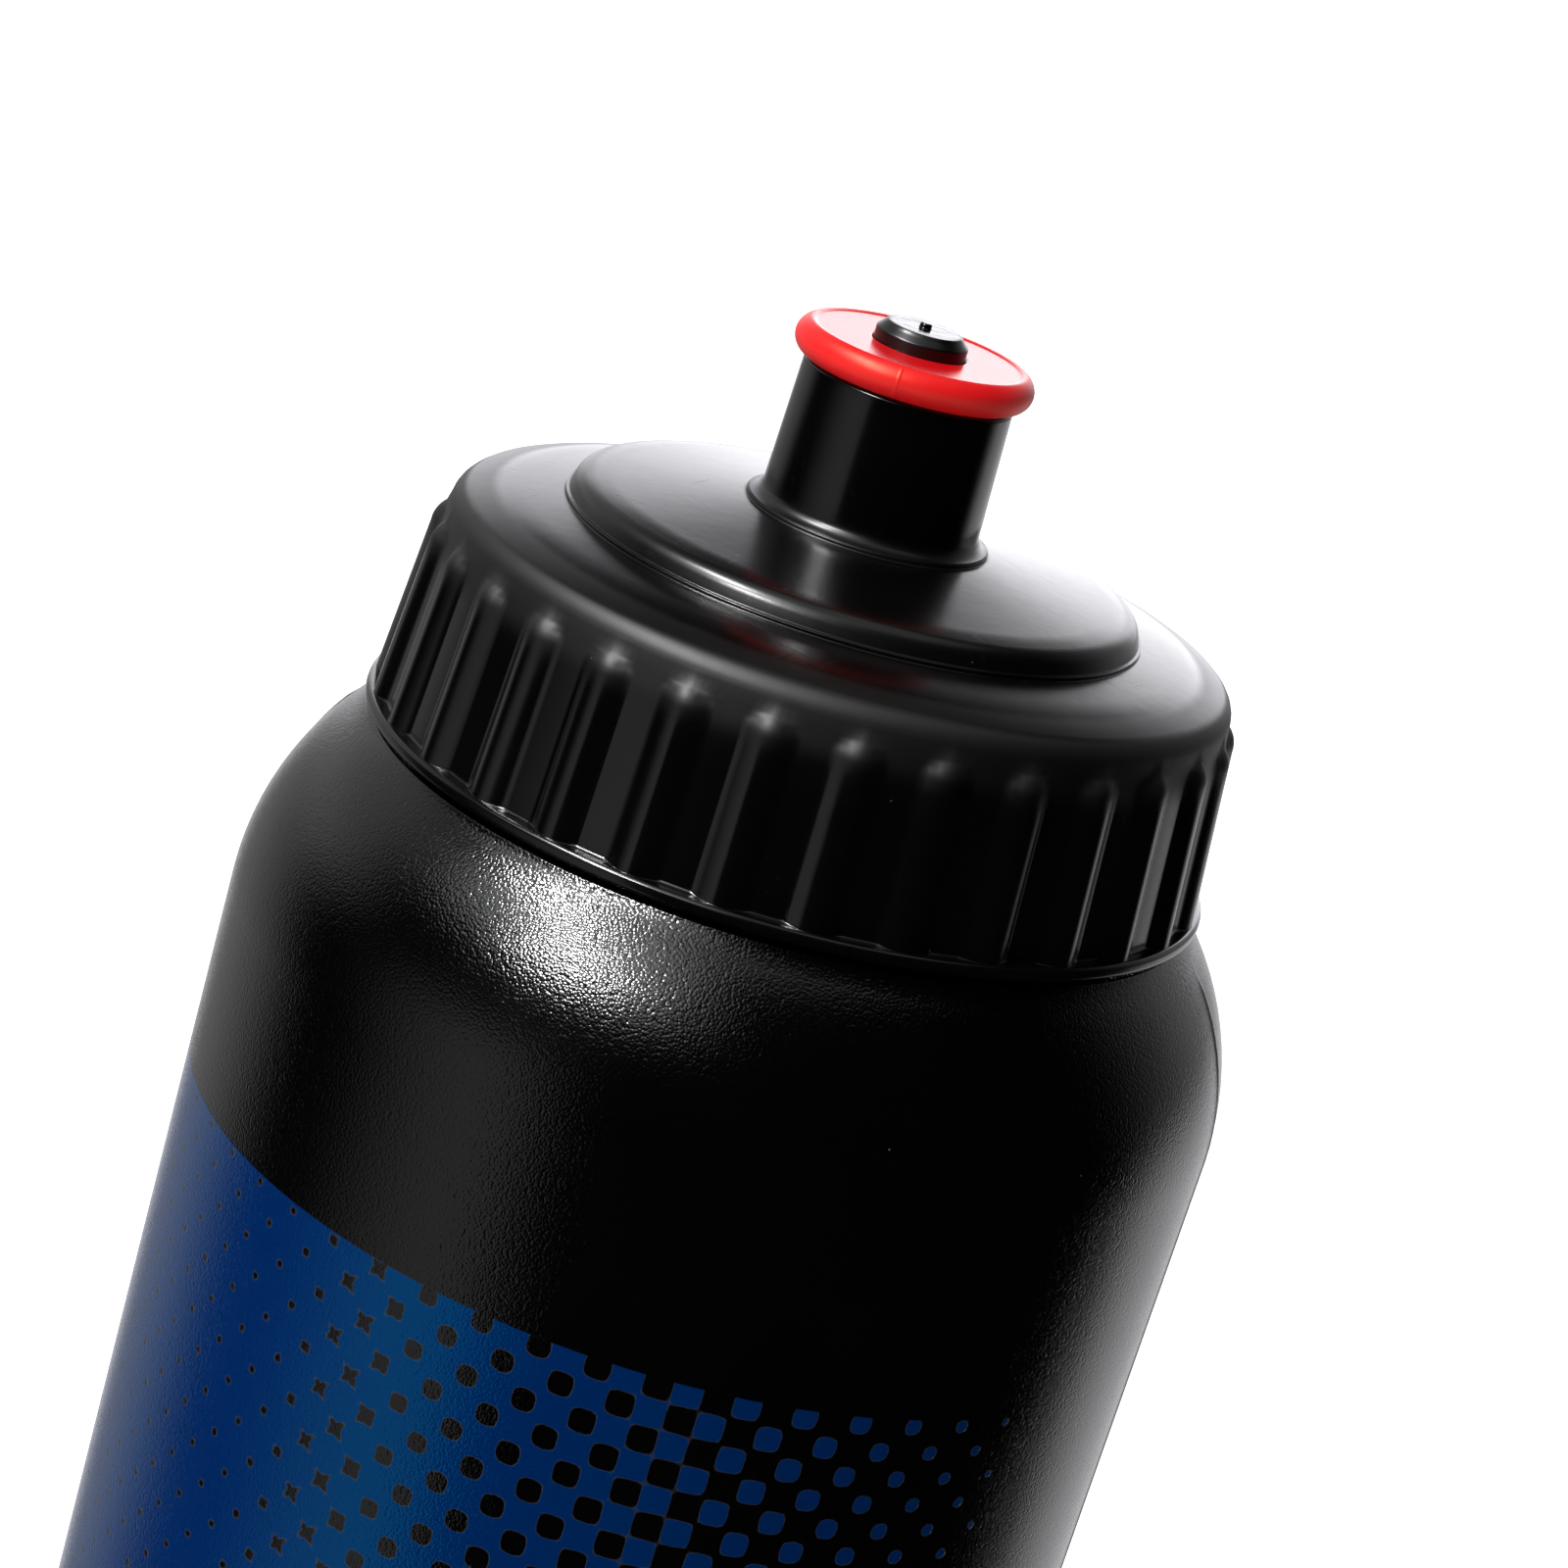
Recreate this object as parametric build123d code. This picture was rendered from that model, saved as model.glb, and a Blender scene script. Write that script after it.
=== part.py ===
from build123d import *
import os

# A one-litre squeeze bottle with a ribbed screw lid and a push-pull drinking valve.
# Millimetres, +Z up the axis, origin at the centre of the base. Lid, gasket and valve
# heights are measured up from the lid's lower edge, and placed at rim_height.

rim_height = 213.0  # lid's lower edge above the surface that the bottle stands on

# roundings of small edges
crisp = 0.1
fine = 0.2
small = 0.3
soft = 0.5

# bottle body
wall = 1.2
base_wall = 1.6
body_radius = 42.6  # widest, just below the shoulder
foot_radius = 40.1
heel_radius = 8.0
stand_ring_radius = 27.0  # inner edge of the ring that the bottle stands on
base_rise = 3.2  # how far the middle of the base is pushed up
shoulder_depth = 18.0  # shoulder's lower end below the lid's edge
collar_radius = 36.5  # low step under the lid's edge
collar_foot_radius = 37.1
collar_foot_depth = 2.9
collar_top_depth = 0.6
collar_wall = 1.6

# neck and its thread
neck_bore_radius = 28.0
neck_radius = 29.9
neck_height = 16.2
neck_root_rounding = 0.8
thread_pitch = 5.0
thread_turns = 1.75
thread_depth = 1.3
thread_root_width = 2.3
thread_crest_width = 1.0
thread_bite = 0.4  # how far a thread's root is sunk in its wall
neck_thread_start = 3.6
lid_thread_drop = 1.8  # lid's thread bears on the neck thread's underside

# lid skirt
lid_radius = 36.0
rim_bead_height = 1.2
rim_bead_draft = 0.1
skirt_foot_radius = 34.6
skirt_top_radius = 33.15
skirt_height = 18.8
skirt_corner = 2.0
lid_bore_radius = 31.6
ceiling_height = 17.8
rib_count = 30
rib_phase = 2.0  # degrees from +X to the middle of the first rib
rib_radius = 2.5
rib_root_gap = 0.5  # the ribs stop short of the bore by this much
rib_foot_reach = 35.6  # radius of a rib's outer line at the lid's edge
rib_top_reach = 34.35
rib_foot_height = 0.5
rib_top_height = 14.6  # centre of a rib's rounded top

# lid top
shoulder_bend_radius = 29.0  # the shoulder falls more steeply outside this
shoulder_bend_height = 20.08
shoulder_bend_rounding = 20.0
shoulder_inner_height = 20.75
disc_step_radius = 24.5
disc_step_height = 0.35
disc_radius = 24.2
disc_edge_radius = 23.7
disc_corner = 1.5
disc_edge_height = 22.7
disc_recess_radius = 22.2
disc_recess_height = 20.9
disc_middle_height = 24.5
disc_bend_radius = 21.5
disc_bend_height = 23.14
disc_bend_rounding = 12.0

# spout and the post in its middle
spout_lip_radius = 10.25
spout_lip_rise = 0.35
spout_foot_radius = 9.15
spout_root_rounding = 1.1
spout_top_radius = 8.8
spout_top_height = 36.8
spout_bore_radius = 7.85
snap_bead_radius = 7.4
snap_bead_height = 34.6
snap_bead_slope = 0.5
post_radius = 3.85
post_height = 41.35
post_chamfer = 0.75
spoke_count = 3
spoke_width = 2.0
spoke_bite = 0.4  # how far a spoke's end is sunk in the spout's wall
spoke_floor = 22.4
spoke_top = 24.3
gate_mark_radius = 0.5
gate_mark_height = 0.45

# ring that keeps the gasket in the lid
fin_outer_radius = 27.2
fin_inner_radius = 26.1
fin_depth = 3.4

# gasket
gasket_inner_radius = 27.5
gasket_outer_radius = 31.3
gasket_floor = 16.25
gasket_top = 17.75

# valve
valve_hole_radius = 3.9  # 0.05 mm sliding fit on the post
valve_rim_radius = 10.05
valve_edge_radius = 9.0
valve_rim_floor = 36.95
valve_top = 39.8
valve_dish = 0.15
valve_top_wall = 2.2
sleeve_radius = 7.35
sleeve_bore_radius = 5.9
sleeve_floor = 25.2
stop_bead_radius = 7.75
stop_bead_floor = 26.4
stop_bead_top = 27.6
stop_bead_slope = 0.6
sleeve_lead_in = 0.4
valve_edge_width = 0.5  # flat ring between the finger rim and the dish


standing = (Align.CENTER, Align.CENTER, Align.MIN)


def turned(*outline):
    """A solid of revolution about Z, from a closed outline of edges in radius and height."""
    section = Plane.XZ * make_face(Curve() + list(outline))
    return revolve(section, Axis.Z)


def rounded(*corners, close=False):
    """Straight runs through corners, each given as radius, height and its own rounding."""
    points = [(corner[0], corner[1]) for corner in corners]
    roundings = [corner[2] for corner in corners]
    if close:
        return FilletPolyline(*points, radius=roundings, close=True)
    return FilletPolyline(*points, radius=roundings[1:-1])


def thread_ridge(root_radius, outward, start_height):
    """One helical ridge; outward is 1 on the outside of a wall and -1 in a bore."""
    path = Helix(thread_pitch, thread_pitch * thread_turns, root_radius)
    half_root = thread_root_width / 2
    half_crest = thread_crest_width / 2
    flank = (half_root - half_crest) / thread_depth
    half_sunk = half_root + flank * thread_bite
    corners = [
        (-outward * thread_bite, -half_sunk),
        (outward * thread_depth, -half_crest),
        (outward * thread_depth, half_crest),
        (-outward * thread_bite, half_sunk),
    ]
    section = Plane(origin=path @ 0, x_dir=(1, 0, 0), z_dir=path % 0)
    ridge = sweep(section * make_face(Polyline(*corners, close=True)), path=path, is_frenet=True)
    return Pos(0, 0, start_height) * ridge


def bottle_body():
    """Blow-moulded shell: pushed-up base, tapered wall, round shoulder, collar and threaded neck."""
    shoulder_height = rim_height - shoulder_depth
    collar_top = rim_height - collar_top_depth
    collar_floor = collar_top - collar_wall
    neck_top = rim_height + neck_height
    collar_foot = (collar_foot_radius, rim_height - collar_foot_depth)
    inner_foot = foot_radius - wall
    inner_heel = heel_radius - wall
    inner_collar = collar_foot_radius - 2 * wall

    outside = [
        TangentArc((0, base_rise), (stand_ring_radius, 0), tangent=(1, 0)),
        Line((stand_ring_radius, 0), (foot_radius - heel_radius, 0)),
        TangentArc((foot_radius - heel_radius, 0), (foot_radius, heel_radius), tangent=(1, 0)),
        Line((foot_radius, heel_radius), (body_radius, shoulder_height)),
        TangentArc((body_radius, shoulder_height), collar_foot, tangent=(0, 1)),
    ]
    neck = rounded(
        (*collar_foot, 0),
        (collar_radius, collar_top, soft),
        (neck_radius, collar_top, neck_root_rounding),
        (neck_radius, neck_top, soft),
        (neck_bore_radius, neck_top, soft),
        (neck_bore_radius, collar_floor, neck_root_rounding),
        (inner_collar, collar_floor, 0),
    )
    inside = [
        TangentArc(
            (body_radius - wall, shoulder_height), (inner_collar, collar_floor), tangent=(0, 1)
        ),
        Line((body_radius - wall, shoulder_height), (inner_foot, base_wall + inner_heel)),
        TangentArc(
            (inner_foot - inner_heel, base_wall), (inner_foot, base_wall + inner_heel), tangent=(1, 0)
        ),
        Line((inner_foot - inner_heel, base_wall), (stand_ring_radius, base_wall)),
        TangentArc(
            (0, base_rise + base_wall), (stand_ring_radius, base_wall), tangent=(1, 0)
        ),
        Line((0, base_rise + base_wall), (0, base_rise)),
    ]
    shell = turned(*outside, neck, *inside)
    return shell + thread_ridge(neck_radius, 1, rim_height + neck_thread_start)


def lid_rib():
    """Half-round grip rib that leans with the skirt and ends in a ball."""
    foot = Vector(rib_foot_reach - rib_radius, 0, rib_foot_height)
    top = Vector(rib_top_reach - rib_radius, 0, rib_top_height)
    run = top - foot
    shaft = Plane(origin=foot, z_dir=run) * extrude(Circle(rib_radius), amount=run.length)
    return shaft + Pos(*top) * Sphere(rib_radius)


def lid_shell():
    """Ribbed cap, raised disc and spout: one moulding, hollow, without its threads and ribs."""
    slope = (disc_middle_height - disc_bend_height) / (disc_bend_radius - spout_lip_radius)
    recess_top = disc_recess_height + slope * (disc_recess_radius - spout_bore_radius)
    disc_foot_height = shoulder_inner_height + disc_step_height
    lip_top = disc_middle_height + spout_lip_rise
    outline = rounded(
        (lid_bore_radius, 0, small),
        (lid_radius, 0, soft),
        (lid_radius - rim_bead_draft, rim_bead_height, soft),
        (skirt_foot_radius, rim_bead_height, small),
        (skirt_top_radius, skirt_height, skirt_corner),
        (shoulder_bend_radius, shoulder_bend_height, shoulder_bend_rounding),
        (disc_step_radius, shoulder_inner_height, crisp),
        (disc_step_radius, disc_foot_height, crisp),
        (disc_radius, disc_foot_height, crisp),
        (disc_edge_radius, disc_edge_height, disc_corner),
        (disc_bend_radius, disc_bend_height, disc_bend_rounding),
        (spout_lip_radius, disc_middle_height, crisp),
        (spout_lip_radius, lip_top, crisp),
        (spout_foot_radius, lip_top, spout_root_rounding),
        (spout_top_radius, spout_top_height, small),
        (snap_bead_radius, spout_top_height, small),
        (snap_bead_radius, snap_bead_height, fine),
        (spout_bore_radius, snap_bead_height - snap_bead_slope, fine),
        (spout_bore_radius, recess_top, soft),
        (disc_recess_radius, disc_recess_height, soft),
        (disc_recess_radius, ceiling_height, small),
        (fin_inner_radius, ceiling_height, small),
        (fin_inner_radius, ceiling_height - fin_depth, small),
        (fin_outer_radius, ceiling_height - fin_depth, small),
        (fin_outer_radius, ceiling_height, fine),
        (lid_bore_radius, ceiling_height, fine),
        close=True,
    )
    return turned(outline)


def screw_lid():
    """The whole lid: shell, grip ribs, thread, and the post on its spokes inside the spout."""
    ribs = [Rot(0, 0, rib_phase + step * 360 / rib_count) * lid_rib() for step in range(rib_count)]
    hollow = Cylinder(lid_bore_radius + rib_root_gap, ceiling_height, align=standing)
    grip = Part() + [rib - hollow for rib in ribs]
    lid = lid_shell() + grip
    lid += thread_ridge(lid_bore_radius, -1, neck_thread_start - lid_thread_drop)

    post_length = post_height - spoke_floor
    post = Cylinder(post_radius, post_length, align=standing)
    post = chamfer(post.edges().sort_by(Axis.Z)[-1], post_chamfer)
    post += Pos(0, 0, post_length) * Cylinder(gate_mark_radius, gate_mark_height, align=standing)
    spoke_length = spout_bore_radius + spoke_bite
    spoke = Box(
        spoke_length, spoke_width, spoke_top - spoke_floor, align=(Align.MIN, Align.CENTER, Align.MIN)
    )
    for step in range(spoke_count):
        post += Rot(0, 0, step * 360 / spoke_count) * spoke
    return lid + Pos(0, 0, spoke_floor) * post


def lid_gasket():
    """Flat sealing ring between the neck's rim and the lid's ceiling."""
    middle_radius = (gasket_inner_radius + gasket_outer_radius) / 2
    section = Pos(middle_radius, (gasket_floor + gasket_top) / 2) * RectangleRounded(
        gasket_outer_radius - gasket_inner_radius, gasket_top - gasket_floor, small
    )
    return revolve(Plane.XZ * section, Axis.Z)


def valve_cap():
    """Pull-up valve: round-edged finger rim, dished top with a hole, and a sleeve with a stop bead."""
    rim_middle = (valve_rim_floor + valve_top) / 2
    cavity_top = valve_top - valve_top_wall
    sleeve_tip_radius = sleeve_radius - sleeve_lead_in
    outline = [
        ThreePointArc(
            (valve_edge_radius, valve_rim_floor),
            (valve_rim_radius, rim_middle),
            (valve_edge_radius, valve_top),
        ),
        rounded(
            (valve_edge_radius, valve_top, 0),
            (valve_edge_radius - valve_edge_width, valve_top - valve_dish, small),
            (valve_hole_radius, valve_top - valve_dish, fine),
            (valve_hole_radius, cavity_top, fine),
            (sleeve_bore_radius, cavity_top, small),
            (sleeve_bore_radius, sleeve_floor, small),
            (sleeve_tip_radius, sleeve_floor, small),
            (sleeve_tip_radius, stop_bead_floor, fine),
            (stop_bead_radius, stop_bead_floor + stop_bead_slope, fine),
            (stop_bead_radius, stop_bead_top, crisp),
            (sleeve_radius, stop_bead_top, crisp),
            (sleeve_radius, valve_rim_floor, small),
            (valve_edge_radius, valve_rim_floor, 0),
        ),
    ]
    return turned(*outline)


above_rim = Pos(0, 0, rim_height)
pieces = {
    "bottle_body": bottle_body(),
    "screw_lid": above_rim * screw_lid(),
    "lid_gasket": above_rim * lid_gasket(),
    "valve_cap": above_rim * valve_cap(),
}

os.makedirs("parts", exist_ok=True)
for name, solid in pieces.items():
    export_step(solid, f"parts/{name}.step")
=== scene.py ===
import bpy
import bmesh
from math import asin, atan2, ceil, cos, degrees, hypot, pi, radians, sin, sqrt, tan
from mathutils import Matrix, Vector


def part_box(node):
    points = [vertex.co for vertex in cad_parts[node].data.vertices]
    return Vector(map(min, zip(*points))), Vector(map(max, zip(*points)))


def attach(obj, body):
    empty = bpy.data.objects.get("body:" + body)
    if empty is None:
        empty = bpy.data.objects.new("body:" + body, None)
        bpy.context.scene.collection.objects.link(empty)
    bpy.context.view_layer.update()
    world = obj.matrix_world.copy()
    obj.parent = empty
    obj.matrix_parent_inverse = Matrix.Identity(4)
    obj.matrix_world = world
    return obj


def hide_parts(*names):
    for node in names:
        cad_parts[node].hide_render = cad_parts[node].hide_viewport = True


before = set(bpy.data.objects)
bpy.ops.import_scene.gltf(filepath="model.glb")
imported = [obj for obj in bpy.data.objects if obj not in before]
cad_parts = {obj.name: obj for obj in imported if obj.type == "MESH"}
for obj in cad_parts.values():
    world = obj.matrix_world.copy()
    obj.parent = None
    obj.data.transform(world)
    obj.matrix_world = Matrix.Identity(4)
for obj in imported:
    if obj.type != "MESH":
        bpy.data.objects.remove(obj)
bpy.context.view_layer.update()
mm = 0.001
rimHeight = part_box("screw_lid")[0].z / mm  # lid's lower edge, in millimetres
scene = bpy.context.scene
print("frame loaded, lid edge at", round(rimHeight, 2), "mm")


# outlines are lists of (radius, height) in millimetres, turned about the bottle's axis


def roundedOutline(corners, closed=True, hold=0.5):
    # each corner is radius, height and rounding; a rounding becomes an arc with a short hold at each end
    count = len(corners)
    points = [Vector(corner[:2]) for corner in corners]
    reach = []
    for index, here in enumerate(points):
        rounding = corners[index][2]
        ends = not closed and index in (0, count - 1)
        if rounding == 0 or ends:
            reach.append(0)
            continue
        before = (points[index - 1] - here).normalized()
        after = (points[(index + 1) % count] - here).normalized()
        reach.append(rounding / tan(before.angle(after) / 2))
    outline = []
    for index, here in enumerate(points):
        if reach[index] == 0:
            outline.append(here)
            continue
        rounding = corners[index][2]
        previous, following = (index - 1) % count, (index + 1) % count
        before = (points[previous] - here).normalized()
        after = (points[following] - here).normalized()
        half = before.angle(after) / 2
        middle = here + (before + after).normalized() * rounding / sin(half)
        start = here + before * reach[index] - middle
        end = here + after * reach[index] - middle
        turn = start.angle(end)
        if start.x * end.y - start.y * end.x < 0:
            turn = -turn
        room = (points[previous] - here).length - reach[index] - reach[previous]
        if room > 2 * hold * rounding:
            outline.append(middle + start + before * hold * rounding)
        facet = radians(14 if rounding > 0.4 else 30)  # small roundings need fewer faces
        steps = max(3, ceil(abs(turn) / facet))
        for step in range(steps + 1):
            outline.append(middle + Matrix.Rotation(turn * step / steps, 2) @ start)
        room = (points[following] - here).length - reach[index] - reach[following]
        if room > 2 * hold * rounding:
            outline.append(middle + end + after * hold * rounding)
    return outline


def arcOutline(middle, radius, first, last, steps):
    # points on an arc, with its angles in degrees from the outward direction
    centre = Vector(middle)
    arc = []
    for step in range(steps + 1):
        angle = radians(first + (last - first) * step / steps)
        arc.append(centre + radius * Vector((cos(angle), sin(angle))))
    return arc


def addTurned(bm, outline, steps, closed=True, start=0.0, sectors=1, shape=None):
    # spins an outline round the Z axis; with sectors, one is spun and shaped, and then repeated
    known = set(bm.faces)
    verts = [bm.verts.new((point.x * mm, 0, point.y * mm)) for point in outline]
    pairs = list(zip(verts, verts[1:]))
    if closed:
        pairs.append((verts[-1], verts[0]))
    edges = [bm.edges.new(pair) for pair in pairs]
    if start:
        bmesh.ops.rotate(bm, verts=verts, cent=(0, 0, 0), matrix=Matrix.Rotation(radians(start), 3, "Z"))
    bmesh.ops.spin(
        bm, geom=verts + edges, cent=(0, 0, 0), axis=(0, 0, 1), dvec=(0, 0, 0),
        angle=2 * pi / sectors, steps=steps // sectors, use_merge=sectors == 1,
    )
    faces = [face for face in bm.faces if face not in known]
    if shape:
        shape({vert for face in faces for vert in face.verts})
    if sectors > 1:
        bmesh.ops.spin(
            bm, geom=faces, cent=(0, 0, 0), axis=(0, 0, 1), dvec=(0, 0, 0),
            angle=2 * pi * (sectors - 1) / sectors, steps=sectors - 1, use_duplicate=True,
        )
        faces = [face for face in bm.faces if face not in known]
    return mergeShell(bm, faces)


def mergeShell(bm, faces):
    # welds a new shell's doubles and turns its faces outwards
    verts = list({vert for face in faces for vert in face.verts})
    bmesh.ops.remove_doubles(bm, verts=verts, dist=0.0004 * mm)
    faces = list({face for vert in verts if vert.is_valid for face in vert.link_faces})
    bmesh.ops.recalc_face_normals(bm, faces=faces)
    return faces


def addThread(bm, thread, outward, startHeight):
    # a helical ridge whose height fades in and out at its two ends
    known = set(bm.faces)
    rootRadius = thread["rootRadius"]
    depth, bite = thread["depth"], thread["bite"]
    halfRoot, halfCrest = thread["rootWidth"] / 2, thread["crestWidth"] / 2
    flank = [
        (-bite, halfRoot + 0.15), (0, halfRoot), (depth - 0.2, halfCrest + 0.1), (depth, halfCrest - 0.15),
    ]
    section = [(across, -along) for across, along in flank] + flank[::-1]
    ring = []
    for across, along in section:
        radius = rootRadius + outward * across
        ring.append(bm.verts.new((radius * mm, 0, (startHeight + along) * mm)))
    loop = [bm.edges.new((ring[i], ring[(i + 1) % len(ring)])) for i in range(len(ring))]
    steps = round(thread["turns"] * thread["stepsPerTurn"])
    rise = thread["pitch"] * thread["turns"] / steps
    swept = bmesh.ops.spin(
        bm, geom=ring + loop, cent=(0, 0, 0), axis=(0, 0, 1), dvec=(0, 0, rise * mm),
        angle=2 * pi * thread["turns"], steps=steps,
    )
    last = [item for item in swept["geom_last"] if isinstance(item, bmesh.types.BMEdge)]
    bmesh.ops.contextual_create(bm, geom=loop)
    bmesh.ops.contextual_create(bm, geom=last)
    faces = [face for face in bm.faces if face not in known]
    fade = thread["pitch"] * thread["fade"]
    top = startHeight + thread["pitch"] * thread["turns"]
    for vert in {vert for face in faces for vert in face.verts}:
        # the helix height under this vertex, from its angle and the turn that it belongs to
        height = vert.co.z / mm
        angle = atan2(vert.co.y, vert.co.x) % (2 * pi) / (2 * pi)
        turn = round((height - startHeight) / thread["pitch"] - angle)
        centre = startHeight + thread["pitch"] * (turn + angle)
        share = max(0.0, min(1.0, (centre - startHeight) / fade, (top - centre) / fade))
        radius = hypot(vert.co.x, vert.co.y) / mm
        proud = (radius - rootRadius) * outward
        if proud > -bite / 2:
            sunk = rootRadius + outward * (-bite / 2 + (proud + bite / 2) * sqrt(share))
            vert.co.x *= sunk / radius
            vert.co.y *= sunk / radius
    return mergeShell(bm, faces)


def raiseSeam(bm, seam, reach):
    # a moulding seam in the plane through the axis at this angle: two cuts beside a column of vertices, and the
    # column raised between them
    across = Vector((-sin(radians(seam["angle"])), cos(radians(seam["angle"])), 0))
    for side in (-1, 1):
        everything = list(bm.verts) + list(bm.edges) + list(bm.faces)
        beside = across * side * seam["width"] / 2 * mm
        bmesh.ops.bisect_plane(bm, geom=everything, dist=0.0005 * mm, plane_co=beside, plane_no=across)
    for vert in bm.verts:
        if abs(vert.co.dot(across)) > 0.01 * mm:
            continue
        share = reach(vert)
        if share > 0:
            vert.co += vert.normal * seam["height"] * share * mm


def finishPiece(name, bm, body, material, node):
    # makes the object, smooths it, says what it rides on, and hides the part that it stands for
    mesh = bpy.data.meshes.new(name)
    bm.to_mesh(mesh)
    bm.free()
    mesh.polygons.foreach_set("use_smooth", [True] * len(mesh.polygons))
    piece = bpy.data.objects.new(name, mesh)
    scene.collection.objects.link(piece)
    mesh.materials.append(material)
    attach(piece, body)
    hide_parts(node)
    print("made", name, "with", len(mesh.polygons), "faces")


# material helpers


def startMaterial(name, **values):
    # values are for the shader's own sockets
    material = bpy.data.materials.new(name)
    material.use_nodes = True
    tree = material.node_tree
    shader = tree.nodes["Principled BSDF"]
    for socket, value in values.items():
        shader.inputs[socket.replace("_", " ")].default_value = value
    return material, tree, shader


def put(tree, kind, inputs, **options):
    # adds a node; inputs are plain values or sockets to link from
    node = tree.nodes.new(kind)
    for option, value in options.items():
        setattr(node, option, value)
    for socket, value in inputs.items():
        if isinstance(value, bpy.types.NodeSocket):
            tree.links.new(value, node.inputs[socket])
        else:
            node.inputs[socket].default_value = value
    return node


def calc(tree, operation, *values):
    return put(tree, "ShaderNodeMath", dict(enumerate(values)), operation=operation).outputs[0]


def calcVector(tree, operation, inputs):
    return put(tree, "ShaderNodeVectorMath", inputs, operation=operation).outputs[0]


def combine(tree, **parts):
    return put(tree, "ShaderNodeCombineXYZ", parts).outputs[0]


def blendValue(tree, share, low, high):
    # a number that goes from low to high with the share
    inputs = {"Value": share, "To Min": low, "To Max": high}
    return put(tree, "ShaderNodeMapRange", inputs).outputs["Result"]


def step(tree, value, low, high):
    # 0 below low, 1 above high, smooth in between
    inputs = {"Value": value, "From Min": low, "From Max": high}
    return put(tree, "ShaderNodeMapRange", inputs, interpolation_type="SMOOTHSTEP").outputs["Result"]


def mixColour(tree, share, first, second):
    # the node's inputs 0, 6 and 7 and its output 2 are those for colours
    return put(tree, "ShaderNodeMix", {0: share, 6: first, 7: second}, data_type="RGBA").outputs[2]


def noise(tree, vector, scale, detail=2.0, roughness=0.5):
    inputs = {"Vector": vector, "Scale": scale, "Detail": detail, "Roughness": roughness}
    return put(tree, "ShaderNodeTexNoise", inputs).outputs["Fac"]


def bump(tree, height, distance, strength=1.0, normal=None):
    inputs = {"Height": height, "Distance": distance, "Strength": strength}
    if normal is not None:
        inputs["Normal"] = normal
    return put(tree, "ShaderNodeBump", inputs).outputs["Normal"]


def specks(tree, place, scale, share, size):
    # a few small round specks: 1 on them
    cells = put(tree, "ShaderNodeTexVoronoi", {"Vector": place, "Scale": scale})
    chosen = put(tree, "ShaderNodeSeparateColor", {"Color": cells.outputs["Color"]}).outputs[0]
    near = calc(tree, "SUBTRACT", 1.0, step(tree, cells.outputs["Distance"], size * 0.6, size))
    return calc(tree, "MULTIPLY", near, calc(tree, "LESS_THAN", chosen, share))


def scratches(tree, place, turn):
    # thin short streaks that lie along one direction, here and there
    turned = put(tree, "ShaderNodeVectorRotate", {"Vector": place, "Angle": radians(turn)}).outputs[0]
    stretched = calcVector(tree, "MULTIPLY", {0: turned, 1: (90, 3600, 900)})
    streaks = step(tree, noise(tree, stretched, 1.0, 1.0), 0.70, 0.78)
    return calc(tree, "MULTIPLY", streaks, step(tree, noise(tree, place, 130.0, 1.0), 0.48, 0.62))


def objectPlace(tree):
    return put(tree, "ShaderNodeTexCoord", {}).outputs["Object"]


def aroundAxis(tree, place):
    # angle in radians from the front towards +X, and radius in metres
    x, y = put(tree, "ShaderNodeSeparateXYZ", {"Vector": place}).outputs[:2]
    angle = calc(tree, "ARCTAN2", x, calc(tree, "MULTIPLY", y, -1.0))
    square = calc(tree, "MULTIPLY_ADD", x, x, calc(tree, "MULTIPLY", y, y))
    return angle, calc(tree, "POWER", square, 0.5)


def aboveRim(tree, place):
    # height in millimetres above the lid's lower edge
    z = put(tree, "ShaderNodeSeparateXYZ", {"Vector": place}).outputs["Z"]
    return calc(tree, "MULTIPLY_ADD", z, 1 / mm, -rimHeight)


# bottle body: blow-moulded, pebbled, with a printed dot screen

body = {
    "wallRadius": 42.57, "footRadius": 40.1, "wall": 1.2, "heelRounding": 8.0, "baseWall": 1.6,
    "standRadius": 27.0, "baseRise": 3.2, "shoulderDepth": 18.0, "shoulderRadius": 23.5,
    "collarFoot": (35.5, -1.2), "collarRadius": 35.2, "collarDepth": 0.6, "collarWall": 1.6,
    "neckRadius": 29.9, "neckBore": 28.0, "neckHeight": 16.2, "threadFoot": 3.6, "steps": 256,
    "roughness": 0.12, "grain": 0.24, "grainDepth": 0.023,
    "darkBlack": (0.0002, 0.0002, 0.0002, 1), "paleBlack": (0.0006, 0.0006, 0.0006, 1),
    "darkBlue": (0.0, 0.0078, 0.047, 1), "paleBlue": (0.0, 0.0096, 0.056, 1),
    "inkEdge": (0.022, 0.024, 0.030, 1), "inkShine": (0.02, 0.72, 1, 1), "inkThickness": 0.012,
    "dust": (0.10, 0.10, 0.10, 1),
}
bodyThread = {
    "rootRadius": 29.9, "depth": 1.3, "rootWidth": 2.3, "crestWidth": 1.0, "bite": 0.4,
    "pitch": 5.0, "turns": 1.75, "stepsPerTurn": 96, "fade": 0.07,
}
bodySeam = {"angle": -8.0, "width": 0.36, "height": 0.10}
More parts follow.
